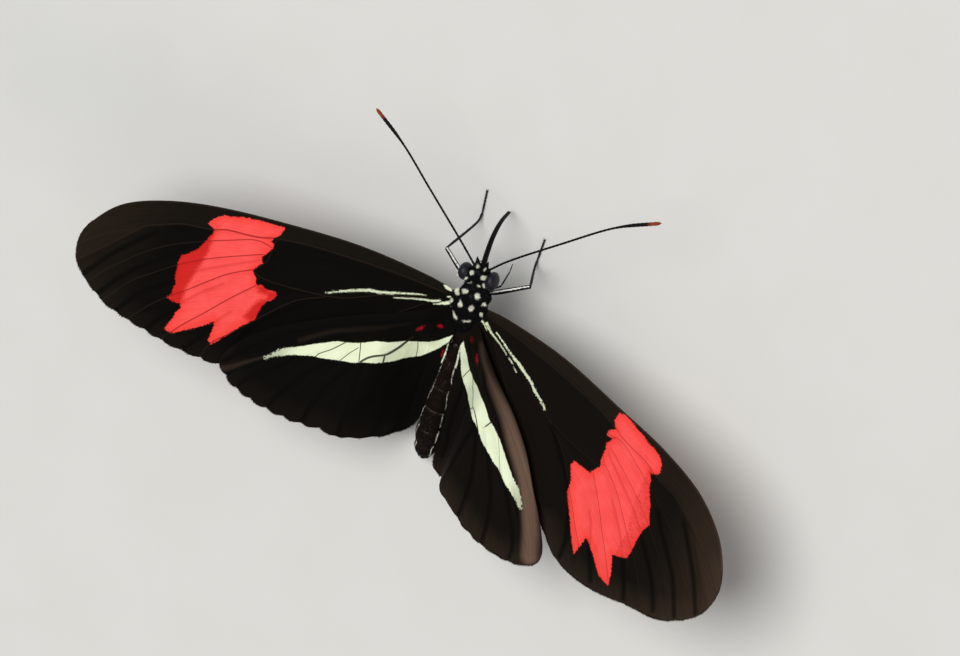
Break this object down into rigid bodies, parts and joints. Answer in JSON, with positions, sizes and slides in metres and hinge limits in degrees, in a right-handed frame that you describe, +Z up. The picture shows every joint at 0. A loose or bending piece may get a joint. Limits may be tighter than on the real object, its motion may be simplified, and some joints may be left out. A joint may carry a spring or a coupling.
{
  "type": "red postman butterfly",
  "caption": "Life-size red postman butterfly standing with its wings spread: black wings, a red patch on each forewing and a pale yellow bar on each hindwing.",
  "frame": {"origin": "on the floor, under the middle of the whole animal's box", "axes": "+X to the butterfly's left along its wingspan, +Y towards its tail, +Z up"},
  "size_m": [0.0728, 0.0364, 0.0152],
  "materials": {
    "body": "black scales and short hair with cream spots",
    "head": "black scales with cream spots",
    "abdomen": "dark brown scales, pale side lines and rings",
    "tongue": "smooth dark brown tube",
    "eye": "dark slate, faint sheen",
    "palp": "black scales with cream hairs",
    "feeler": "black, orange red tip",
    "wing": "velvety black scales, red patch, pale yellow bar",
    "leg": "black scales with a pale stripe"
  },
  "bodies": {
    "root": {"abdomen": "abdomen", "antenna_left": "feeler", "antenna_right": "feeler", "eye_left": "eye", "eye_right": "eye", "head": "head", "leg_fore_left": "leg", "leg_fore_right": "leg", "leg_hind_left": "leg", "leg_hind_right": "leg", "leg_mid_left": "leg", "leg_mid_right": "leg", "palp_left": "palp", "palp_right": "palp", "proboscis": "tongue", "thorax": "body", "wing_fore_left": "wing", "wing_fore_right": "wing", "wing_hind_left": "wing", "wing_hind_right": "wing"}
  },
  "joints": []
}
